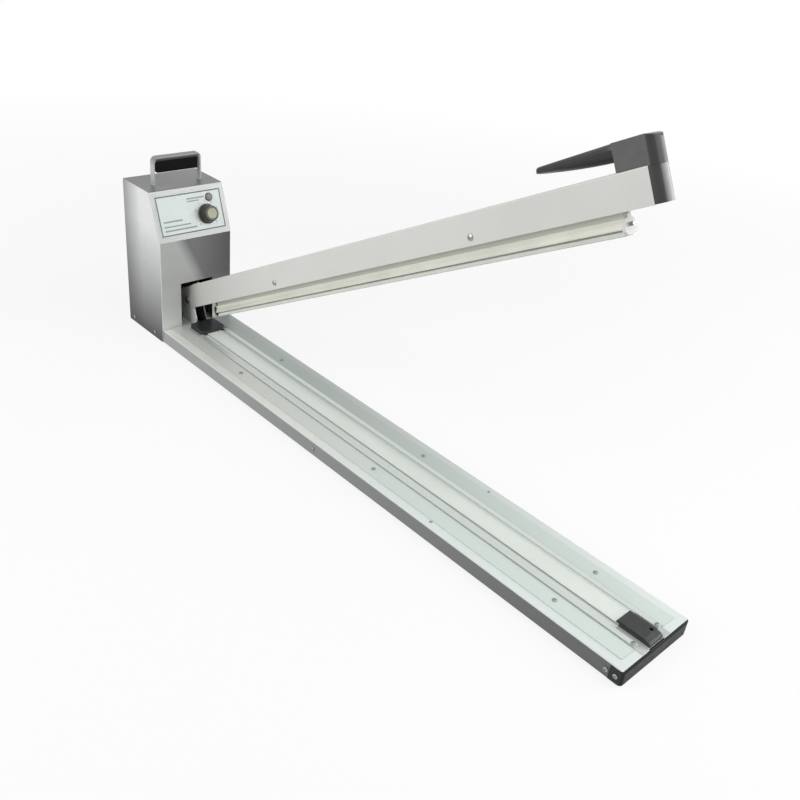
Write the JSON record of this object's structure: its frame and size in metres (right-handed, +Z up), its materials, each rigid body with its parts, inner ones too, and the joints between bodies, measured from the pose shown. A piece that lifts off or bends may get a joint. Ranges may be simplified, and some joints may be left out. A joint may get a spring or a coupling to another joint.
{
  "type": "impulse bag sealer",
  "caption": "Long-arm impulse bag sealer: flat base with a heated seal rail, tall rear housing with timer knob and carry handle, and a hinged pressure arm with a grip, shown open.",
  "frame": {"origin": "middle of the bounding box in X and Y, on the plane that the feet stand on", "axes": "+X along the base from the housing to the free end, +Y across the base to the side that has the timer knob, +Z up"},
  "size_m": [1.054, 0.137, 0.5418],
  "materials": {
    "painted_steel": "light grey powder paint, satin",
    "deck_plate": "satin anodised",
    "rail_aluminium": "satin",
    "arm_aluminium": "light warm grey, satin",
    "bar_aluminium": "mill finish",
    "black_plastic": "matte black",
    "gloss_black": "semi-gloss black",
    "foot_rubber": "matte black",
    "silicone": "off-white silicone",
    "cloth": "glass cloth with a non-stick coat",
    "tape": "beige insulating tape",
    "ribbon": "bright resistance alloy",
    "terminal_board": "brown laminate",
    "brass": "plain",
    "zinc_steel": "zinc plated",
    "spring_steel": "plain wire",
    "screw_steel": "nickel plated",
    "label": "pale grey plate with a dark green-grey border",
    "cap_metal": "pale champagne",
    "lamp": "dark translucent lens, off",
    "core_steel": "varnished laminations",
    "winding": "varnished copper wire with tape",
    "circuit": "green circuit board",
    "components": "moulded black",
    "plunger": "red"
  },
  "bodies": {
    "base": {"base_channel": "painted_steel", "bottom_tray": "painted_steel", "rubber_feet": "foot_rubber", "end_cap": "black_plastic", "deck_plate_left": "deck_plate", "deck_plate_right": "deck_plate", "seal_rail": "rail_aluminium", "rail_tape": "tape", "heating_ribbon": "ribbon", "nonstick_cloth": "cloth", "clamp_strips": "rail_aluminium", "front_terminal_guide": "terminal_board", "tension_springs": "spring_steel", "front_cover": "black_plastic", "rear_terminal": "brass", "rear_cover": "black_plastic", "hinge_bracket": "zinc_steel", "hinge_pin": "zinc_steel", "pin_clips": "zinc_steel", "stop_rod": "zinc_steel", "return_spring": "spring_steel", "spring_anchor": "zinc_steel", "housing_shell": "painted_steel", "back_panel": "painted_steel", "cable_gland": "black_plastic", "fuse_holder": "black_plastic", "fuse_cap": "black_plastic", "label_plate": "label", "potentiometer": "zinc_steel", "lamp_bezel": "black_plastic", "lamp_lens": "lamp", "carry_strap": "arm_aluminium", "carry_grip": "gloss_black", "transformer_core": "core_steel", "transformer_coil": "winding", "transformer_bracket": "zinc_steel", "timer_board": "circuit", "board_parts": "components", "switch_bracket": "zinc_steel", "micro_switch": "black_plastic", "deck_screws": "screw_steel", "side_screws": "screw_steel", "back_screws": "screw_steel", "inner_screws": "screw_steel"},
    "arm": {"arm_channel": "arm_aluminium", "arm_bushes": "brass", "tail_plate": "zinc_steel", "arm_screws": "screw_steel", "arm_spacers": "bar_aluminium", "arm_end_cap": "gloss_black", "arm_handle": "gloss_black", "pressure_bar": "bar_aluminium", "silicone_strip": "silicone", "bar_end_plates": "bar_aluminium", "bar_end_screws": "screw_steel"},
    "timer_knob": {"timer_knob": "black_plastic", "knob_cap": "cap_metal", "knob_shaft": "zinc_steel"},
    "switch_plunger": {"switch_plunger": "plunger"},
    "ribbon_clamp": {"ribbon_clamp": "brass"}
  },
  "joints": [
    {"name": "arm_hinge", "type": "hinge", "parent": "base", "child": "arm", "pos_m": [-0.411, 0, 0.06665], "axis": [0, 1, 0], "range_deg": [0, 28.2], "stiffness_Nm_per_rad": 4, "springref_deg": -91.67, "deforming": ["return_spring"]},
    {"name": "timer_knob_turn", "type": "hinge", "parent": "base", "child": "timer_knob", "pos_m": [-0.41582, 0.028, 0.20838], "axis": [0.9376, 0, 0.3477], "range_deg": [-135, 135]},
    {"name": "switch_plunger_press", "type": "slide", "parent": "base", "child": "switch_plunger", "axis": [0, 0, 1], "range_m": [0, 0.0012], "stiffness_N_per_m": 400},
    {"name": "ribbon_clamp_slide", "type": "slide", "parent": "base", "child": "ribbon_clamp", "axis": [1, 0, 0], "range_m": [0, 0.003], "stiffness_N_per_m": 600}
  ]
}
